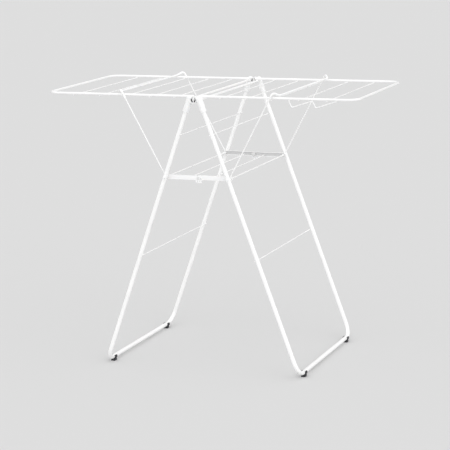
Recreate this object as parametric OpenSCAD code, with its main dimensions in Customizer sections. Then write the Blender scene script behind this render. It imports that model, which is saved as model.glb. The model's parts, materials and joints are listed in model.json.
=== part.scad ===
// Folding clothes drying rack: two U-shaped leg frames joined at the top, a folding
// brace on each side, and two wings of wires, each held up by a swinging wire prop.
// X runs along the rack, Y from front to back, Z up. The floor is Z = 0.

/* [Overall] */
// Length of the opened rack, between the centrelines of the two end bars
rack_len = 1240; // [1000:10:1500]
// Height of the drying rails above the floor, to their centreline
rail_z = 1058; // [900:5:1300]
// Distance between the two rails of a wing, centre to centre
wing_w = 590; // [480:5:720]
// Distance between the two foot tubes on the floor, centre to centre
foot_spread = 790; // [600:10:950]

/* [Legs] */
// Diameter of the leg tube
leg_d = 16; // [12:1:22]
// Wall of the leg tube
leg_wall = 1.2; // [0.8:0.1:2]
// Radius of the bend at each foot, to the tube's centreline
leg_bend_r = 50; // [30:5:80]
// Distance from a wing rail out to the leg tube beside it, centre to centre
leg_gap = 25; // [24:1:40]
// Height above the rails of the point where the leg centrelines would meet
apex_rise = 45; // [38:1:60]
// Height of the foot tube's centreline above the floor
foot_z = 17; // [14:1:22]
// Height of the lower wire that ties the two tubes of a leg frame together
low_wire_z = 449; // [300:1:600]
// Height of the upper wire of a leg frame
high_wire_z = 919; // [850:1:980]
// Diameter of every thin wire
wire_d = 4; // [3:0.5:6]

/* [Feet] */
// Diameter of a rubber foot around the foot tube
pad_d = 23; // [19:1:26]
// How far a rubber foot's two arms reach up past the middle of the foot tube
clip_rise = 5; // [3:0.5:6]
// Length of a rubber foot along the tube
pad_len = 18; // [12:1:30]
// How far each rubber foot sits in from where the foot tube starts to bend, to its middle
pad_inset = 8; // [8:1:60]

/* [Wings] */
// Diameter of the wing rails and of their end bars
rail_d = 9; // [7:0.5:12]
// Wall of the rail tube
rail_wall = 1; // [0.8:0.1:1.5]
// Radius of a wing's outer corners, to the tube's centreline
corner_r = 45; // [20:5:80]
// Distance of each wing's hinge bar from the middle of the rack
bar_x = 22; // [21:0.5:26]
// Distance of the first thin wire from the middle of the rack
first_wire_x = 92.5; // [60:0.5:110]
// How much each gap between wires is longer than the one before it
wire_gap_step = 2.75; // [0:0.25:4]

/* [Top hinge] */
// Height of the hinge pins above the floor, measured down from the rails
hinge_drop = 9; // [5:1:12]
// Radius of the round hinge knuckles
knuckle_r = 13; // [11.5:0.5:13.5]
// Diameter of the plastic sleeve around a leg's top
sleeve_d = 24; // [22:0.5:24]
// How far the sleeve reaches down the leg below the rails
sleeve_drop = 55; // [40:1:80]
// Diameter of the hinge pins
pin_d = 6; // [5:0.5:7]

/* [Braces and rods] */
// Height of the braces, and of the rods that they and the props turn on
brace_z = 751; // [650:1:820]
// Height of a brace's channel section
brace_h = 17; // [12:0.5:20]
// Depth of a brace's channel section
brace_t = 6.5; // [5:0.5:7]
// Wall of the channel section
brace_wall = 1.5; // [1:0.1:2]
// Diameter of the rods
rod_d = 5; // [4:0.5:6]
// Distance of each brace wire from the middle of the rack
brace_wire_x = 44; // [35:1:60]
// How far the brace wires lie below the middle of the braces
brace_wire_drop = 4; // [0:0.5:5]

/* [Props] */
// Diameter of a prop's wire
prop_d = 4.4; // [3.5:0.1:5]
// Diameter of the plastic grip on a prop's upper end
grip_d = 8; // [7:0.5:10]
// Distance of a grip's bar from the middle of the rack
grip_x = 323; // [303:1:350]
// How far a grip's bar lies beyond the top of the wire strut, along X
arch_len = 29; // [20:1:40]
// How far the strut's line runs on past its top before the grip turns over the rail
arch_rise = 24; // [18:1:32]

/* [Hanger wire] */
// Distance from the outer end of the hanger wire to where its rail starts to bend
hanger_inset = 29; // [5:1:40]
// Length of one notch of the hanger wire
notch_len = 92; // [60:1:95]
// Depth of a notch below the rail
notch_depth = 32; // [20:1:40]
// Number of notches
notches = 2; // [1:1:2]
// Length along the rail of a notch's steep side
notch_run = 12; // [8:1:20]
// Radius of the wire's bends
notch_r = 5; // [4:0.5:6]

/* [Hidden] */
$fn = 48;

left = -1;
right = 1;
front = -1;
back = 1;
steel = [0.95, 0.95, 0.95];
plastic = [0.90, 0.90, 0.91];
rubber = [0.12, 0.12, 0.13];

fit = 0.1;         // radial play of a pin or rod in the part that turns on it
snug = 0.05;       // radial play of a pin or rod in the part that holds it
side_gap = 0.6;    // gap between parts that slide past each other
weld = 0.1;        // depth to which a welded wire sinks into the tube it lies on
lap = 0.2;         // length by which a straight run reaches into a wire's bend
slimmer = 0.05;    // by which a straight run is thinner than a bend, so that their faces never coincide
past = 1;          // how far a cut reaches past the face that it opens

// Legs: k is how far a leg moves out along X for each millimetre down
wing_x = rack_len / 2;
wing_y = wing_w / 2;
leg_y = wing_y + leg_gap;
apex_z = rail_z + apex_rise;
k = foot_spread / 2 / (apex_z - foot_z);
lean = atan(k);
leg_len = (apex_z - foot_z) / cos(lean);
wire_end = 2;      // how far a leg frame's wires reach past the middles of its tubes
function leg_x(z) = (apex_z - z) * k;
function along_leg(z) = -(apex_z - z) / cos(lean);

// Top hinge
hinge_z = rail_z - hinge_drop;
sleeve_r = sleeve_d / 2;
sleeve_bottom = along_leg(rail_z - sleeve_drop);
dome_drop = 5;     // from the rails down to the middle of the sleeve's round top
sleeve_top = along_leg(rail_z - dome_drop);
tube_clear = 7;    // from the knuckles down to the end of the leg tube
leg_top = along_leg(hinge_z - knuckle_r - tube_clear);
knuckle_share = 0.26; // share of the sleeve's width that each of the two outer knuckles takes
knuckle_t = sleeve_d * knuckle_share;
knuckle_gap = 0.4;
layer_gap = knuckle_gap + 0.01; // so that the cut and the next layer's face never coincide
bar_gap = 0.5;     // from the end of a hinge bar to the end of its hole
web_low = 11;      // how far the web of a knuckle reaches below the pin
web_high = 9;      // and how far above it
hollow_deep = 4.6;
hollow_rim = 2.5;
rib_t = 3.2;
boss_t = 1.7;      // wall left around the pin inside the hollows
pin_head_d = pin_d + 3.5;
pin_head_t = 2;
pin_bevel = 1.25;

// Wings
wing_wires = 5;    // thin wires across each wing
bar_d = rail_d;
bar_z = rail_z - (rail_d + bar_d) / 2 + weld;
rail_end = bar_x - 8;
bar_end = leg_y + 2;
plug_t = 2;        // thickness of the wall that closes a rail's end
wire_over = 3;     // how far a wing's wires reach past the middles of its rails
wing_wire_z = rail_z - (rail_d + wire_d) / 2 + weld;
hanger_x = wing_x - corner_r - hanger_inset - notches * notch_len;
first_pitch = (wing_x - first_wire_x - wire_gap_step * wing_wires * (wing_wires - 1) / 2) / wing_wires;
function wing_wire_x(i) = first_wire_x + (i - 1) * first_pitch + wire_gap_step * (i - 1) * (i - 2) / 2;

// Rods, props and braces, from the leg tube inwards
rod_x = leg_x(brace_z);
cap_d = 11;
cap_t = 5;
cap_bevel = 2;
cap_gap = 0.2;     // between a rod's cap and the leg tube
cap_hole = 3;
rod_end = leg_y + leg_d / 2 + cap_hole;
prop_gap = 0.8;    // between a leg tube and the prop beside it
prop_y = leg_y - leg_d / 2 - prop_gap - prop_d / 2;
brace_gap = 2.2;   // between a prop and the brace beside it
outer_y = prop_y - prop_d / 2 - brace_gap;
inner_y = outer_y - brace_t - side_gap;
rivet_d = 6;
rivet_head_d = 11;
rivet_head_t = 1.8;
boss_d = 12;

// The finger tab under a brace, and its two windows
tab_w = 24;
tab_h = 11;
tab_x = 2;         // how far the tab's middle lies to the right of the rack's middle
tab_window = [4, 5];
tab_window_x = [5, 14];
tab_window_z = 3;

// The block under a foot tube, and the slot by which the rubber clips on from below
block_w = 0.72 * pad_d;
slot_w = 0.84 * leg_d;
pad_y = leg_y - leg_bend_r - pad_inset;

// A prop: the strut's top, and the corners of the grip that arches over the rail
strut_top = [grip_x - arch_len, prop_y, rail_z + 1];
strut_vec = strut_top - [rod_x, prop_y, brace_z];
strut_dir = strut_vec / norm(strut_vec);
eye_swell = 0.6;   // by which the wire is thicker where it is pressed into an eye
strut_inset = 2;   // the wire ends this far below the strut's top, inside the grip
grip_z = rail_z + (rail_d + grip_d) / 2 + 0.4;
grip_inset = 13;   // from a rail's middle in to the end of the grip's straight bar
grip_bend_r = 12;
socket_len = 14;
socket = strut_top - socket_len * strut_dir;

module on_side(x_side, y_side = back) {
    mirror([x_side < 0 ? 1 : 0, 0, 0]) mirror([0, y_side < 0 ? 1 : 0, 0]) children();
}

// Places its children in the plane of the right leg frame: Z along the leg with 0 at the
// top point, Y to the back, and X out of the plane, away from the middle of the rack
module leg_plane() {
    translate([0, 0, apex_z]) rotate([0, -lean, 0]) children();
}

module ring(d, wall) {
    difference() {
        circle(d = d);
        circle(d = d - 2 * wall);
    }
}

// A straight tube along Y, centred on Y = 0
module cross_tube(len, d, wall) {
    rotate([90, 0, 0]) linear_extrude(len, center = true) ring(d, wall);
}

// A cylinder along Y from y0 to y1
module y_rod(y0, y1, d) {
    translate([0, y0, 0]) rotate([-90, 0, 0]) cylinder(h = y1 - y0, d = d);
}

// A round bar from point a to point b
module bar(a, b, d) {
    v = b - a;
    translate(a) rotate([0, acos(v.z / norm(v)), atan2(v.y, v.x)]) cylinder(h = norm(v), d = d);
}

// Direction of the run from corner i of a wire to the next corner
function run_dir(p, i) = (p[i + 1] - p[i]) / norm(p[i + 1] - p[i]);

// How far the wire turns at corner i, and how much of a run that bend takes up
function turn(p, i) = acos(run_dir(p, i - 1) * run_dir(p, i));
function bend_run(p, i, r) = i == 0 || i == len(p) - 1 ? 0 : r * tan(turn(p, i) / 2);

// How far a run starts from corner i, so that it reaches a little into the bend there
function run_start(p, i, r) = i == 0 || i == len(p) - 1 ? 0 : bend_run(p, i, r) - lap;

// A round wire along a list of corners, with bends of radius r
module bent_wire(p, d, r) {
    for (i = [0:len(p) - 2]) {
        u = run_dir(p, i);
        bar(p[i] + run_start(p, i, r) * u, p[i + 1] - run_start(p, i + 1, r) * u, d - slimmer);
    }
    for (i = [1:len(p) - 2]) {
        u = run_dir(p, i - 1);
        turned = cross(u, run_dir(p, i));
        axis = turned / norm(turned);
        inward = cross(axis, u);
        middle = p[i] - bend_run(p, i, r) * u + r * inward;
        multmatrix([[-inward.x, u.x, axis.x, middle.x],
            [-inward.y, u.y, axis.y, middle.y],
            [-inward.z, u.z, axis.z, middle.z]])
            rotate_extrude(angle = turn(p, i)) translate([r, 0]) circle(d = d);
    }
}

module leg_frame(x_side) {
    straight = leg_len - leg_bend_r + leg_top;
    color(steel) on_side(x_side) difference() {
        leg_plane() {
            for (y_side = [front, back]) on_side(right, y_side) {
                translate([0, leg_y, leg_bend_r - leg_len]) linear_extrude(straight) ring(leg_d, leg_wall);
                translate([0, leg_y - leg_bend_r, leg_bend_r - leg_len]) rotate([-90, 0, 90])
                    rotate_extrude(angle = 90) translate([leg_bend_r, 0]) ring(leg_d, leg_wall);
            }
            translate([0, 0, -leg_len]) cross_tube(2 * (leg_y - leg_bend_r), leg_d, leg_wall);
        }
        translate([rod_x, 0, brace_z]) y_rod(-leg_y - leg_d, leg_y + leg_d, rod_d + 2 * snug);
    }
}

// A wire welded across the inner side of a leg frame at height z
module leg_wire(x_side, z) {
    color(steel) on_side(x_side) leg_plane()
        translate([weld - (leg_d + wire_d) / 2, 0, along_leg(z)])
            y_rod(-leg_y - wire_end, leg_y + wire_end, wire_d);
}

module pivot_rod(x_side) {
    color(steel) on_side(x_side) translate([rod_x, 0, brace_z]) y_rod(-rod_end, rod_end, rod_d);
}

module rod_cap(x_side, y_side) {
    color(plastic) on_side(x_side, y_side) translate([rod_x, leg_y + leg_d / 2 + cap_gap, brace_z])
        difference() {
            union() {
                y_rod(0, cap_t - cap_bevel, cap_d);
                translate([0, cap_t - cap_bevel, 0]) rotate([-90, 0, 0])
                    cylinder(h = cap_bevel, d1 = cap_d, d2 = cap_d - 2 * cap_bevel);
            }
            y_rod(-past, cap_hole, rod_d + 2 * snug);
        }
}

// A rubber foot: a split ring clipped up around the foot tube, on a flat-bottomed block
module foot(x_side, y_side) {
    color(rubber) on_side(x_side, y_side) translate([leg_x(foot_z), pad_y, foot_z]) difference() {
        union() {
            y_rod(-pad_len / 2, pad_len / 2, pad_d);
            translate([-block_w / 2, -pad_len / 2, -foot_z]) cube([block_w, pad_len, foot_z]);
        }
        y_rod(-pad_len, pad_len, leg_d);
        translate([-slot_w / 2, -pad_len, 0]) cube([slot_w, 2 * pad_len, pad_d]);
        translate([-pad_d, -pad_len, clip_rise]) cube([2 * pad_d, 2 * pad_len, pad_d]);
        translate([-pad_d, -pad_len, -pad_d - foot_z]) cube([2 * pad_d, 2 * pad_len, pad_d]);
    }
}

// The layers of knuckle across the hinge, from the inner face of the sleeve outwards
function knuckle_layer(x_side) = x_side < 0
    ? [[-sleeve_r, -sleeve_r + knuckle_t], [sleeve_r - knuckle_t, sleeve_r]]
    : [[-sleeve_r + knuckle_t + knuckle_gap, sleeve_r - knuckle_t - knuckle_gap]];

// Two curved hollows around the pin, with an upright rib between them
module knuckle_hollows(y0, y1) {
    difference() {
        y_rod(y0, y1, 2 * (knuckle_r - hollow_rim));
        y_rod(y0 - past, y1 + past, pin_d + 2 * boss_t);
        translate([-rib_t / 2, y0 - past, -knuckle_r]) cube([rib_t, y1 - y0 + 2 * past, 2 * knuckle_r]);
    }
}

// Half of a top hinge: a sleeve on the leg's top that holds the wing's hinge bar, and
// the knuckles that turn on the hinge pin
module hinge(x_side, y_side) {
    own = knuckle_layer(x_side);
    other = knuckle_layer(-x_side);
    color(plastic) on_side(x_side, y_side) difference() {
        union() {
            difference() {
                translate([0, leg_y, 0]) leg_plane() {
                    translate([0, 0, sleeve_bottom]) cylinder(h = sleeve_top - sleeve_bottom, d = sleeve_d);
                    translate([0, 0, sleeve_top]) sphere(d = sleeve_d);
                }
                for (layer = other) translate([0, leg_y, hinge_z])
                    y_rod(layer[0] - layer_gap, layer[1] + layer_gap, 2 * (knuckle_r + knuckle_gap));
            }
            for (layer = own) translate([0, leg_y, hinge_z]) {
                y_rod(layer[0], layer[1], 2 * knuckle_r);
                translate([0, layer[0], -web_low])
                    cube([leg_x(hinge_z), layer[1] - layer[0], web_low + web_high]);
            }
        }
        translate([0, leg_y, 0]) leg_plane() translate([0, 0, sleeve_bottom - past])
            cylinder(h = leg_top - sleeve_bottom + past, d = leg_d + 2 * snug);
        translate([bar_x, leg_y, bar_z]) y_rod(-sleeve_d, bar_end - leg_y + bar_gap, bar_d + 2 * fit);
        translate([0, leg_y, hinge_z]) y_rod(-sleeve_d, sleeve_d, pin_d + 2 * fit);
        if (x_side < 0) translate([0, leg_y, hinge_z]) {
            knuckle_hollows(sleeve_r - hollow_deep, sleeve_r + past);
            knuckle_hollows(-sleeve_r - past, -sleeve_r + hollow_deep);
        }
    }
}

module hinge_pin(y_side) {
    color(steel) on_side(right, y_side) translate([0, leg_y, hinge_z]) {
        y_rod(-sleeve_r - fit, sleeve_r + fit, pin_d);
        for (s = [0, 1]) mirror([0, s, 0]) translate([0, sleeve_r + fit, 0]) rotate([-90, 0, 0])
            cylinder(h = pin_head_t, d1 = pin_head_d, d2 = pin_head_d - 2 * pin_bevel);
    }
}

// A wing's frame: two rails, two round corners and the end bar, one bent tube
module wing_frame(x_side) {
    color(steel) on_side(x_side) translate([0, 0, rail_z]) {
        for (y_side = [front, back]) on_side(right, y_side) {
            translate([rail_end, wing_y, 0]) rotate([0, 90, 0])
                linear_extrude(wing_x - corner_r - rail_end) ring(rail_d, rail_wall);
            translate([wing_x - corner_r, wing_y - corner_r, 0])
                rotate_extrude(angle = 90) translate([corner_r, 0]) ring(rail_d, rail_wall);
            translate([rail_end, wing_y, 0]) rotate([0, 90, 0]) cylinder(h = plug_t, d = rail_d);
        }
        translate([wing_x, 0, 0]) cross_tube(2 * (wing_y - corner_r), rail_d, rail_wall);
    }
}

module wing_bar(x_side) {
    color(steel) on_side(x_side) translate([bar_x, 0, bar_z]) y_rod(-bar_end, bar_end, bar_d);
}

module wing_wire(x_side, i) {
    color(steel) on_side(x_side) translate([wing_wire_x(i), 0, wing_wire_z])
        y_rod(-wing_y - wire_over, wing_y + wire_over, wire_d);
}

// The saw-toothed wire under one rail, whose notches keep clothes hangers apart
module hanger_wire() {
    corners = [for (i = [0:notches - 1]) each [[hanger_x + i * notch_len, -wing_y, wing_wire_z],
        [hanger_x + i * notch_len + notch_run, -wing_y, rail_z - notch_depth]],
        [hanger_x + notches * notch_len, -wing_y, wing_wire_z]];
    color(steel) bent_wire(corners, wire_d, notch_r);
}

// The wire strut of a prop, with an eye on the rod
module prop(x_side, y_side) {
    eye_r = rod_d / 2 + fit + prop_d / 2;
    color(steel) on_side(x_side, y_side) difference() {
        union() {
            translate([rod_x, prop_y, brace_z]) rotate([90, 0, 0])
                rotate_extrude() translate([eye_r, 0]) circle(d = prop_d + eye_swell);
            bar([rod_x, prop_y, brace_z] + eye_r * strut_dir, strut_top - strut_inset * strut_dir, prop_d);
        }
        translate([rod_x, prop_y, brace_z]) y_rod(-prop_d, prop_d, rod_d + 2 * fit);
    }
}

// The plastic grip that arches over both rails and carries them on its straight bar
module prop_grip(x_side) {
    side = [socket, strut_top + arch_rise * strut_dir, [grip_x, wing_y - grip_inset, grip_z]];
    other_side = [for (i = [2, 1, 0]) [side[i].x, -side[i].y, side[i].z]];
    color(plastic) on_side(x_side) difference() {
        bent_wire(concat(side, other_side), grip_d, grip_bend_r);
        for (y_side = [front, back]) on_side(right, y_side)
            bar(socket - past * strut_dir, strut_top - (strut_inset - 0.5) * strut_dir, prop_d + 2 * snug);
    }
}

// A bar with round ends from the rod to the middle, thickness t from y = 0 outwards
module round_bar(h, t) {
    y_rod(0, t, h);
    translate([0, 0, -h / 2]) cube([rod_x, t, h]);
    translate([rod_x, 0, 0]) y_rod(0, t, h);
}

// Half of a folding brace: a channel that opens towards the middle of the rack
module brace(x_side, y_side) {
    y0 = x_side < 0 ? outer_y - brace_t : inner_y - brace_t;
    color(plastic) on_side(x_side, y_side) translate([0, y0, brace_z]) difference() {
        union() {
            difference() {
                round_bar(brace_h, brace_t);
                translate([0, -past, 0]) round_bar(brace_h - 2 * brace_wall, brace_t - brace_wall + past);
            }
            y_rod(0, brace_t - brace_wall / 2, boss_d);
            translate([rod_x, 0, 0]) y_rod(0, brace_t - brace_wall / 2, boss_d);
        }
        y_rod(-past, brace_t + past, rivet_d + 2 * snug);
        translate([rod_x, 0, 0]) y_rod(-past, brace_t + past, rod_d + 2 * fit);
    }
}

module brace_wire(x_side) {
    end = (x_side < 0 ? outer_y : inner_y) - brace_wall;
    color(steel) on_side(x_side) translate([brace_wire_x, 0, brace_z - brace_wire_drop]) y_rod(-end, end, wire_d);
}

// The rivet that joins two brace halves, made in two parts that meet between the halves
module brace_rivet(x_side, y_side) {
    y0 = x_side < 0 ? outer_y : inner_y - brace_t;
    color(steel) on_side(right, y_side) translate([0, y0, brace_z]) mirror([0, x_side < 0 ? 0 : 1, 0]) {
        y_rod(-brace_t, 0.01, rivet_d);
        y_rod(0, rivet_head_t, rivet_head_d);
    }
}

// The finger tab under the middle of a brace that is pushed up to fold the rack
module brace_tab(y_side) {
    t = brace_t - 1;
    color(plastic) on_side(right, y_side)
        translate([tab_x - tab_w / 2, outer_y - t, brace_z - brace_h / 2 - tab_h]) difference() {
            cube([tab_w, t, tab_h]);
            for (x = tab_window_x) translate([x, -past, tab_window_z])
                cube([tab_window.x, t + 2 * past, tab_window.y]);
        }
}

leg_frame(left);  // left_leg_frame
leg_frame(right);  // right_leg_frame
leg_wire(left, low_wire_z);  // left_lower_leg_wire
leg_wire(left, high_wire_z);  // left_upper_leg_wire
leg_wire(right, low_wire_z);  // right_lower_leg_wire
leg_wire(right, high_wire_z);  // right_upper_leg_wire
pivot_rod(left);  // left_pivot_rod
pivot_rod(right);  // right_pivot_rod
rod_cap(left, front);  // left_front_rod_cap
rod_cap(left, back);  // left_back_rod_cap
rod_cap(right, front);  // right_front_rod_cap
rod_cap(right, back);  // right_back_rod_cap
foot(left, front);  // left_front_foot
foot(left, back);  // left_back_foot
foot(right, front);  // right_front_foot
foot(right, back);  // right_back_foot
hinge(left, front);  // left_front_hinge
hinge(left, back);  // left_back_hinge
hinge(right, front);  // right_front_hinge
hinge(right, back);  // right_back_hinge
hinge_pin(front);  // front_hinge_pin
hinge_pin(back);  // back_hinge_pin
wing_frame(left);  // left_wing_frame
wing_frame(right);  // right_wing_frame
wing_bar(left);  // left_wing_bar
wing_bar(right);  // right_wing_bar
wing_wire(left, 1);  // left_wing_wire_1
wing_wire(left, 2);  // left_wing_wire_2
wing_wire(left, 3);  // left_wing_wire_3
wing_wire(left, 4);  // left_wing_wire_4
wing_wire(left, 5);  // left_wing_wire_5
wing_wire(right, 1);  // right_wing_wire_1
wing_wire(right, 2);  // right_wing_wire_2
wing_wire(right, 3);  // right_wing_wire_3
wing_wire(right, 4);  // right_wing_wire_4
wing_wire(right, 5);  // right_wing_wire_5
hanger_wire();
prop(left, front);  // left_front_prop
prop(left, back);  // left_back_prop
prop(right, front);  // right_front_prop
prop(right, back);  // right_back_prop
prop_grip(left);  // left_prop_grip
prop_grip(right);  // right_prop_grip
brace(left, front);  // front_left_brace
brace(left, back);  // back_left_brace
brace(right, front);  // front_right_brace
brace(right, back);  // back_right_brace
brace_wire(left);  // left_brace_wire
brace_wire(right);  // right_brace_wire
brace_rivet(left, front);  // front_left_rivet
brace_rivet(left, back);  // back_left_rivet
brace_rivet(right, front);  // front_right_rivet
brace_rivet(right, back);  // back_right_rivet
brace_tab(front);  // front_brace_tab
brace_tab(back);  // back_brace_tab
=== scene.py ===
import json
import math

import bmesh
import bpy
from mathutils import Matrix, Vector


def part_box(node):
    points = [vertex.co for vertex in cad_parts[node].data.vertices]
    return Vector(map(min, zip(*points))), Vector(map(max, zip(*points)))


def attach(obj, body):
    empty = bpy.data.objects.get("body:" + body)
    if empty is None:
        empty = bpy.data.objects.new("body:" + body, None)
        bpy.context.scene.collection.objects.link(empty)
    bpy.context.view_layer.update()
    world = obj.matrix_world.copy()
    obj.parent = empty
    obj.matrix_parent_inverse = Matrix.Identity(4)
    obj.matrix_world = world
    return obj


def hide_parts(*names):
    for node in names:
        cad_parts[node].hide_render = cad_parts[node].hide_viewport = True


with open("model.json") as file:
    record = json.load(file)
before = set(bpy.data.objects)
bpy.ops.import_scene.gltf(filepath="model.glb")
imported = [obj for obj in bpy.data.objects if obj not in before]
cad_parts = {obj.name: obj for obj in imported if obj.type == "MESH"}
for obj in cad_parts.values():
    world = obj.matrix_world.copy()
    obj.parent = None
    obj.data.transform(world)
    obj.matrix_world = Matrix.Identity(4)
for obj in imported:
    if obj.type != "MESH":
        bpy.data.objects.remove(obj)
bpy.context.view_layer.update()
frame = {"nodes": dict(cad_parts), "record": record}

# A folding clothes drying rack of white coated tube and wire. The CAD nodes keep their places.
# This script gives them finishes, stands rounded copies in for the moulded parts and the rubber
# feet, and adds welds where wires and rails meet.

MM = 0.001
NODES = frame["nodes"]
RECORD = frame["record"]
SLOT_OF = {s["node"]: s["material_slot"] for s in RECORD["subparts"]}
COLOR_OF = {m["slot"]: m["base_color"] for m in RECORD["materials"]}
BODY_OF = {n: body for body, nodes in RECORD["behaviour"]["bodies"].items() for n in nodes}
SIDES = {"left": -1, "right": 1}
ENDS = {"front": -1, "back": 1}
LEG_RADIUS = 8 * MM
WIRES_PER_WING = 5

# The dome is brightest towards BRIGHT_SIDE. The camera sees it as one plain grey.
BRIGHT_SIDE = (0.38, -0.74, 0.555)
DOME_DIMMEST, DOME_BRIGHTEST, DOME_AS_SEEN = 0.12, 1.51, 0.73
FLOOR_GREY = 0.655
FLOOR_SIZE = 160

# How far the sharp edges of each kind of moulded part are rounded
ROUNDING = {"hinge": 0.9 * MM, "foot": 0.8 * MM, "rod_cap": 0.6 * MM, "brace_tab": 0.6 * MM,
            "brace": 0.5 * MM, "rivet": 0.5 * MM, "hinge_pin": 0.4 * MM}
MERGED_BELOW = 0.002 * MM
FLAT_WITHIN = math.radians(0.8)
SHARP_OVER = math.radians(32)

# Depth of the floor of a hollow below its rim, and how nearly it faces along Y. These floors take
# painted shade.
HOLLOW_DEPTHS = (3 * MM, 6 * MM)
HOLLOW_REACH = 11 * MM
FACING = 0.9


# ---------------------------------------------------------------- camera, light, floor

def make_camera():
    azimuth, elevation, roll = math.radians(21.66), math.radians(11.17), math.radians(-1.29)
    target = Vector((-0.0155, -0.0007, 0.5119))
    distance = 6.895
    back = Vector((math.sin(azimuth) * math.cos(elevation),
                   -math.cos(azimuth) * math.cos(elevation), math.sin(elevation)))
    right = Vector((math.cos(azimuth), math.sin(azimuth), 0))
    up = back.cross(right)
    turned_right = right * math.cos(roll) + up * math.sin(roll)
    turned_up = up * math.cos(roll) - right * math.sin(roll)
    data = bpy.data.cameras.new("camera")
    data.lens = 139.9
    data.sensor_width = 36
    data.clip_end = 200
    camera = bpy.data.objects.new("camera", data)
    bpy.context.scene.collection.objects.link(camera)
    camera.matrix_world = Matrix.Translation(target + distance * back) @ Matrix(
        (turned_right, turned_up, back)).transposed().to_4x4()
    bpy.context.scene.camera = camera


def sun(name, azimuth, elevation, softness, strength):
    """Parallel light from a compass direction and a height in degrees, from a source of a width."""
    data = bpy.data.lights.new(name, "SUN")
    data.angle = math.radians(softness)
    data.energy = strength
    light = bpy.data.objects.new(name, data)
    bpy.context.scene.collection.objects.link(light)
    a, e = math.radians(azimuth), math.radians(elevation)
    source = Vector((math.sin(a) * math.cos(e), -math.cos(a) * math.cos(e), math.sin(e)))
    light.rotation_euler = (-source).to_track_quat("-Z", "Y").to_euler()


def make_light():
    """A soft studio dome, brightest in front, and one weak wide light. It is seen as plain grey."""
    world = bpy.data.worlds.new("studio")
    bpy.context.scene.world = world
    world.use_nodes = True
    tree = world.node_tree
    sky = tree.nodes["Background"]
    sky.inputs["Color"].default_value = (1, 1, 1, 1)
    direction = tree.nodes.new("ShaderNodeTexCoord").outputs["Generated"]
    toward = tree.nodes.new("ShaderNodeVectorMath")
    toward.operation = "DOT_PRODUCT"
    toward.inputs[1].default_value = BRIGHT_SIDE
    tree.links.new(direction, toward.inputs[0])
    strength = tree.nodes.new("ShaderNodeMapRange")
    for key, number in (("From Min", -1), ("From Max", 1),
                        ("To Min", DOME_DIMMEST), ("To Max", DOME_BRIGHTEST)):
        strength.inputs[key].default_value = number
    tree.links.new(toward.outputs["Value"], strength.inputs["Value"])
    seen = tree.nodes.new("ShaderNodeMix")
    seen.inputs["B"].default_value = DOME_AS_SEEN
    light_path = tree.nodes.new("ShaderNodeLightPath")
    tree.links.new(light_path.outputs["Is Camera Ray"], seen.inputs["Factor"])
    tree.links.new(strength.outputs["Result"], seen.inputs["A"])
    tree.links.new(seen.outputs["Result"], sky.inputs["Strength"])
    sun("key", 60, 35, 40, 0.25)


def make_floor():
    bpy.ops.mesh.primitive_plane_add(size=FLOOR_SIZE, location=(0, 0, 0))
    floor = bpy.context.object
    floor.name = "floor"
    mat = bpy.data.materials.new("floor_paper")
    mat.use_nodes = True
    shader = mat.node_tree.nodes["Principled BSDF"]
    shader.inputs["Base Color"].default_value = (FLOOR_GREY, FLOOR_GREY, FLOOR_GREY, 1)
    shader.inputs["Roughness"].default_value = 1.0
    shader.inputs["Specular IOR Level"].default_value = 0
    floor.data.materials.append(mat)


# ---------------------------------------------------------------- materials

class Shading:
    """A node material on object coordinates, which are metres in the row frame."""

    def __init__(self, name):
        self.mat = bpy.data.materials.new(name)
        self.mat.use_nodes = True
        self.tree = self.mat.node_tree
        self.shader = self.tree.nodes["Principled BSDF"]
        self.coords = self.add("ShaderNodeTexCoord").outputs["Object"]

    def add(self, kind, **inputs):
        node = self.tree.nodes.new(kind)
        for key, value in inputs.items():
            node.inputs[key.replace("_", " ")].default_value = value
        return node

    def link(self, a, b):
        self.tree.links.new(a, b)

    def stretched(self, scale):
        mapping = self.add("ShaderNodeMapping", Scale=scale)
        self.link(self.coords, mapping.inputs["Vector"])
        return mapping.outputs["Vector"]

    def noise(self, scale, detail=2.0, roughness=0.5, vector=None):
        node = self.add("ShaderNodeTexNoise", Scale=scale, Detail=detail, Roughness=roughness)
        self.link(vector or self.coords, node.inputs["Vector"])
        return node.outputs["Fac"]

    def ranged(self, value, low, high, a, b):
        node = self.add("ShaderNodeMapRange")
        for key, number in (("From Min", low), ("From Max", high), ("To Min", a), ("To Max", b)):
            node.inputs[key].default_value = number
        self.link(value, node.inputs["Value"])
        return node.outputs["Result"]

    def mixed(self, factor, a, b):
        node = self.add("ShaderNodeMix")
        node.data_type = "RGBA"
        for socket, value in ((node.inputs[6], a), (node.inputs[7], b)):
            if isinstance(value, bpy.types.NodeSocket):
                self.link(value, socket)
            else:
                socket.default_value = (*value, 1)
        self.link(factor, node.inputs[0])
        return node.outputs[2]

    def bumped(self, height, distance, strength=1.0, under=None):
        node = self.add("ShaderNodeBump", Strength=strength, Distance=distance)
        self.link(height, node.inputs["Height"])
        if under:
            self.link(under, node.inputs["Normal"])
        return node.outputs["Normal"]

    def finish(self, color, roughness, normal):
        self.link(color, self.shader.inputs["Base Color"])
        self.link(roughness, self.shader.inputs["Roughness"])
        self.link(normal, self.shader.inputs["Normal"])
        return self.mat


def tinted(color, factor, shift=(0, 0, 0)):
    return tuple(min(1.0, c * factor + s) for c, s in zip(color, shift))


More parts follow.
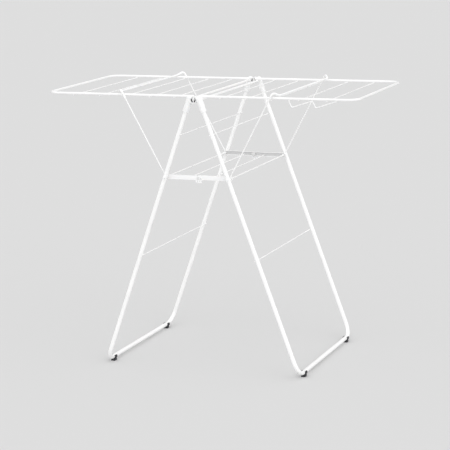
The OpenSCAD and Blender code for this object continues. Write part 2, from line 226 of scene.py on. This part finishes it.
def powder_coat(slot, roughness, peel_size, peel_depth):
    """Satin coat on steel: orange peel, uneven gloss, and faint handling marks."""
    s = Shading(slot)
    color = COLOR_OF[slot]
    cloud = s.ranged(s.noise(9, 3), 0.35, 0.65, 0, 1)
    base = s.mixed(cloud, tinted(color, 0.985), tinted(color, 1.015, (0.004, 0.002, 0)))
    marks = s.ranged(s.noise(55, 6, 0.7), 0.64, 0.74, 0, 0.5)
    base = s.mixed(marks, base, tinted(color, 0.93, (0.004, 0.002, 0)))
    gloss = s.ranged(s.noise(28, 3), 0.3, 0.7, roughness - 0.05, roughness + 0.06)
    wide = s.bumped(s.noise(1 / (4 * peel_size), 2), 2 * peel_depth, 0.5)
    normal = s.bumped(s.noise(1 / peel_size, 2, 0.45), peel_depth, 0.8, wide)
    s.shader.inputs["Coat Weight"].default_value = 0.12
    s.shader.inputs["Coat Roughness"].default_value = 0.2
    return s.finish(base, gloss, normal)


def moulded_plastic(slot, roughness, flow, name=None, painted_shade_factor=1.0):
    """Moulded plastic: fine spark grain, faint flow lines along one way, a little depth.

    A finish of another name is the slot's own, darkened as painted shade."""
    s = Shading(name or slot)
    color = tinted(COLOR_OF[slot], painted_shade_factor)
    streaks = s.ranged(s.noise(40, 3, vector=s.stretched(flow)), 0.35, 0.65, 0, 1)
    base = s.mixed(streaks, tinted(color, 0.975), tinted(color, 1.01, (0.004, 0.004, 0.006)))
    scuffs = s.ranged(s.noise(120, 5, 0.75), 0.66, 0.76, 0, 0.6)
    base = s.mixed(scuffs, base, tinted(color, 0.9))
    gloss = s.ranged(s.noise(70, 2), 0.3, 0.7, roughness - 0.04, roughness + 0.07)
    sink = s.bumped(s.noise(60, 1), 0.12 * MM, 0.5)
    normal = s.bumped(s.noise(3200, 1, 0.4), 0.03 * MM, 0.7, sink)
    s.shader.inputs["Subsurface Weight"].default_value = 0.06
    s.shader.inputs["Subsurface Radius"].default_value = (1.2 * MM, 1.1 * MM, 1.0 * MM)
    return s.finish(base, gloss, normal)


def middle(node):
    low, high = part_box(node)
    return (low + high) / 2


def painted_hinge_hollow_shade():
    """The floors of the hinge hollows, with painted shade: near black below the pin, and a greyed
    white above it.
    """
    s = Shading("hinge_hollow_painted_shade")
    color = COLOR_OF["white_plastic"]
    split = s.add("ShaderNodeSeparateXYZ")
    s.link(s.coords, split.inputs[0])
    pin_z = middle("front_hinge_pin").z
    wobble = s.ranged(s.noise(300, 2), 0.3, 0.7, -1 * MM, 1 * MM)
    height = s.add("ShaderNodeMath")
    s.link(split.outputs["Z"], height.inputs[0])
    s.link(wobble, height.inputs[1])
    lit = s.ranged(height.outputs[0], pin_z + 1 * MM, pin_z + 4 * MM, 0, 1)
    base = s.mixed(lit, tinted(color, 0.04), tinted(color, 0.8))
    gloss = s.ranged(lit, 0, 1, 0.75, 0.6)
    return s.finish(base, gloss, s.bumped(s.noise(2500, 1), 0.04 * MM, 0.7))


def coated_rivet(slot):
    """Lacquered rivet heads, a little greyer, worn to the zinc in small spots."""
    s = Shading(slot)
    color = COLOR_OF[slot]
    spots = s.ranged(s.noise(420, 4, 0.65), 0.56, 0.66, 0, 1)
    base = s.mixed(spots, tinted(color, 0.86), tinted(color, 0.62))
    metal = s.ranged(spots, 0, 1, 0.15, 0.8)
    s.link(metal, s.shader.inputs["Metallic"])
    gloss = s.ranged(s.noise(260, 2), 0.3, 0.7, 0.3, 0.45)
    normal = s.bumped(s.noise(900, 2), 0.05 * MM, 0.7)
    return s.finish(base, gloss, normal)


def soft_rubber(slot):
    """Matt black rubber with a granular skin and a trace of dust low down."""
    s = Shading(slot)
    color = COLOR_OF[slot]
    cloud = s.ranged(s.noise(180, 3), 0.35, 0.65, 0, 1)
    base = s.mixed(cloud, tinted(color, 0.75), tinted(color, 1.35))
    dust = s.ranged(s.noise(520, 5, 0.7), 0.6, 0.72, 0, 0.5)
    base = s.mixed(dust, base, (0.12, 0.115, 0.11))
    gloss = s.ranged(cloud, 0, 1, 0.62, 0.8)
    normal = s.bumped(s.noise(1500, 3, 0.6), 0.12 * MM, 0.8)
    return s.finish(base, gloss, normal)


def make_materials():
    made = {
        "coated_tube": powder_coat("coated_tube", 0.36, 1.1 * MM, 0.05 * MM),
        "coated_wire": powder_coat("coated_wire", 0.3, 1.6 * MM, 0.07 * MM),
        "white_plastic": moulded_plastic("white_plastic", 0.44, (1, 1, 0.15)),
        "brace_shell": moulded_plastic("brace_shell", 0.4, (0.12, 1, 1)),
        "grip_plastic": moulded_plastic("grip_plastic", 0.5, (1, 0.12, 1)),
        # The hinge hollow floors, with painted shade
        "hinge_hollow_painted_shade": painted_hinge_hollow_shade(),
        # The brace channel floors: the brace plastic darkened to 0.7 as painted shade
        "brace_hollow_painted_shade": moulded_plastic("brace_shell", 0.6, (0.12, 1, 1), "brace_hollow_painted_shade", 0.7),
        "rivets": coated_rivet("rivets"),
        "rubber_feet": soft_rubber("rubber_feet"),
    }
    for node, obj in NODES.items():
        for material_slot in obj.material_slots:
            material_slot.material = made[SLOT_OF[node]]
    return made


# ---------------------------------------------------------------- meshes

def add_piece(name, mesh, node):
    """A new piece that rides with the body of a CAD node and takes that node's finish."""
    slot = SLOT_OF[node]
    obj = bpy.data.objects.new(name, mesh)
    bpy.context.scene.collection.objects.link(obj)
    mesh.materials.clear()
    mesh.materials.append(MATERIALS[slot])
    for face in mesh.polygons:
        face.use_smooth = True
    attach(obj, BODY_OF[node])
    return obj


def skin(verts, faces, rings):
    """Adds a closed skin over rings of points, all with the same number of points."""
    start = len(verts)
    count = len(rings[0])
    for ring in rings:
        verts.extend(ring)
    for i in range(len(rings) - 1):
        for j in range(count):
            a, b = start + i * count + j, start + i * count + (j + 1) % count
            faces.append((a, b, b + count, a + count))
    faces.append([start + j for j in reversed(range(count))])
    faces.append([start + (len(rings) - 1) * count + j for j in range(count)])


def mesh_of(name, verts, faces):
    mesh = bpy.data.meshes.new(name)
    mesh.from_pydata([tuple(v) for v in verts], [], [tuple(f) for f in faces])
    bm = bmesh.new()
    bm.from_mesh(mesh)
    bmesh.ops.recalc_face_normals(bm, faces=bm.faces)
    bm.to_mesh(mesh)
    bm.free()
    return mesh


def weld_end(verts, faces, tip, outward, toward, radius, over, swell):
    """The rounded end of a wire and the weld that ties it to the tube beside it.

    The tube lies in the direction toward, and its middle is over behind the tip."""
    side = outward.cross(toward).normalized()
    reach = over + 3.2 * radius
    steps, around, dome_steps = 14, 24, 5
    stations = []
    for i in range(steps + 1):
        along = -reach + reach * i / steps
        lump = math.exp(-((along + over) / (1.15 * radius)) ** 2)
        tuck = -0.03 * radius if i == 0 else 0.015 * radius
        stations.append((along, radius + tuck, lump * swell))
    for i in range(1, dome_steps):
        turn = math.pi / 2 * i / dome_steps
        lump = math.exp(-((radius * math.sin(turn) * 0.6 + over) / (1.15 * radius)) ** 2)
        stations.append((0.6 * radius * math.sin(turn), radius * math.cos(turn) * 1.015,
                         lump * swell * math.cos(turn)))
    rings = []
    for along, base, lump in stations:
        ring = []
        for j in range(around):
            angle = 2 * math.pi * j / around
            up = math.sin(angle)
            reached = base + lump * (0.6 + 0.4 * up)
            ring.append(tip + along * outward
                        + reached * (math.cos(angle) * side + up * toward))
        rings.append(ring)
    skin(verts, faces, rings)


def add_wing_welds():
    up = Vector((0, 0, 1))
    for side in SIDES:
        rail_low, rail_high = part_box(side + "_wing_frame")
        rail_d = rail_high.z - rail_low.z
        rail_y = rail_high.y - rail_d / 2
        for number in range(1, WIRES_PER_WING + 1):
            node = f"{side}_wing_wire_{number}"
            low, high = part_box(node)
            verts, faces = [], []
            for end in ENDS.values():
                tip = Vector((middle(node).x, end * high.y, middle(node).z))
                weld_end(verts, faces, tip, Vector((0, end, 0)), up,
                         (high.z - low.z) / 2, high.y - rail_y, 1.1 * MM)
            add_piece(node + "_welds", mesh_of(node + "_welds", verts, faces), node)


def add_rail_welds():
    """Where each rail ends on its wing's hinge bar."""
    for side, sign in SIDES.items():
        low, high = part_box(side + "_wing_frame")
        radius = (high.z - low.z) / 2
        inner = min(abs(low.x), abs(high.x))
        over = abs(middle(side + "_wing_bar").x) - inner
        verts, faces = [], []
        for end in ENDS.values():
            tip = Vector((sign * inner, end * (high.y - radius), high.z - radius))
            weld_end(verts, faces, tip, Vector((-sign, 0, 0)), Vector((0, 0, -1)),
                     radius, over, 1.3 * MM)
        name = side + "_rail_welds"
        add_piece(name, mesh_of(name, verts, faces), side + "_wing_frame")


def bead(verts, faces, center, half_length, half_width, half_height):
    """A lump of weld that lies along X."""
    steps, around = 12, 20
    rings = []
    for i in range(1, steps):
        turn = math.pi * i / steps
        along = center.x - half_length * math.cos(turn)
        ring = []
        for j in range(around):
            angle = 2 * math.pi * j / around
            ring.append(Vector((along,
                                center.y + half_width * math.sin(turn) * math.cos(angle),
                                center.z + half_height * math.sin(turn) * math.sin(angle))))
        rings.append(ring)
    skin(verts, faces, rings)


def add_hanger_welds():
    """The three beads that tie the saw-toothed wire to the rail above it."""
    low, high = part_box("hanger_wire")
    radius = (high.y - low.y) / 2
    bead_z = high.z - 0.7 * radius
    verts, faces = [], []
    for x in (low.x + 1.5 * radius, (low.x + high.x) / 2, high.x - 1.5 * radius):
        center = Vector((x, middle("hanger_wire").y, bead_z))
        bead(verts, faces, center, 2.2 * radius, 1.2 * radius, radius)
    add_piece("hanger_welds", mesh_of("hanger_welds", verts, faces), "hanger_wire")


def add_leg_welds():
    for side, sign in SIDES.items():
        lower, upper = f"{side}_lower_leg_wire", f"{side}_upper_leg_wire"
        along = (middle(upper) - middle(lower)).normalized()
        toward = Vector((sign * along.z, 0, -sign * along.x))
        tube_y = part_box(side + "_leg_frame")[1].y - LEG_RADIUS
        for node in (lower, upper):
            low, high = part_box(node)
            verts, faces = [], []
            for end in ENDS.values():
                tip = Vector((middle(node).x, end * high.y, middle(node).z))
                weld_end(verts, faces, tip, Vector((0, end, 0)), toward,
                         (high.z - low.z) / 2, high.y - tube_y, 1.2 * MM)
            add_piece(node + "_welds", mesh_of(node + "_welds", verts, faces), node)


# ---------------------------------------------------------------- rounded moulded parts

def rounded_copy(node, kind, painted_shade_finish=None, inside=None):
    """Stands for a CAD node with the same faces, and with every sharp edge rounded.

    The faces for which inside is true, of a middle and a normal, take the given finish of painted
    shade."""
    mesh = NODES[node].data.copy()
    mesh.name = node + "_moulding"
    bm = bmesh.new()
    bm.from_mesh(mesh)
    bmesh.ops.remove_doubles(bm, verts=bm.verts, dist=MERGED_BELOW)
    bmesh.ops.dissolve_limit(bm, angle_limit=FLAT_WITHIN, verts=bm.verts, edges=bm.edges)
    bm.to_mesh(mesh)
    bm.free()
    if mesh.attributes.get("custom_normal"):
        mesh.attributes.remove(mesh.attributes["custom_normal"])
    obj = add_piece(mesh.name, mesh, node)
    if painted_shade_finish:
        mesh.materials.append(MATERIALS[painted_shade_finish])
        for face in mesh.polygons:
            face.material_index = int(inside(face.center, face.normal))
    bevel = obj.modifiers.new("edges", "BEVEL")
    bevel.width = ROUNDING[kind]
    bevel.segments = 2
    bevel.limit_method = "ANGLE"
    bevel.angle_limit = SHARP_OVER
    obj.modifiers.new("shading", "WEIGHTED_NORMAL")
    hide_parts(node)


def in_hinge(end):
    """Tells the floors of the hollows around a hinge's pin from its other faces."""
    low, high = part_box(f"left_{end}_hinge")
    pin = middle(f"{end}_hinge_pin")

    def inside(center, normal):
        aside = math.hypot(center.x - pin.x, center.z - pin.z)
        depth = min(center.y - low.y, high.y - center.y)
        deep = HOLLOW_DEPTHS[0] < depth < HOLLOW_DEPTHS[1]
        return abs(normal.y) > FACING and deep and aside < HOLLOW_REACH
    return inside


def in_brace(node, sign):
    """Tells the floor of a brace's channel, which opens towards the middle, from its other faces."""
    low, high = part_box(node)
    rim = low.y if sign > 0 else high.y

    def inside(center, normal):
        depth = abs(center.y - rim)
        deep = HOLLOW_DEPTHS[0] < depth < HOLLOW_DEPTHS[1]
        return normal.y * sign < -FACING and deep
    return inside


def add_mouldings():
    for end, sign in ENDS.items():
        # The hollow floors of the left hinges and of the braces take painted shade.
        rounded_copy(f"left_{end}_hinge", "hinge", "hinge_hollow_painted_shade", in_hinge(end))
        rounded_copy(f"right_{end}_hinge", "hinge")
        rounded_copy(f"{end}_brace_tab", "brace_tab")
        rounded_copy(f"{end}_hinge_pin", "hinge_pin")
        for side in SIDES:
            brace = f"{end}_{side}_brace"
            rounded_copy(brace, "brace", "brace_hollow_painted_shade", in_brace(brace, sign))
            rounded_copy(f"{side}_{end}_rod_cap", "rod_cap")
            rounded_copy(f"{end}_{side}_rivet", "rivet")
            rounded_copy(f"{side}_{end}_foot", "foot")


make_camera()
make_light()
make_floor()
MATERIALS = make_materials()
add_wing_welds()
add_rail_welds()
add_hanger_welds()
add_leg_welds()
add_mouldings()

bpy.context.scene.view_settings.view_transform = "Standard"
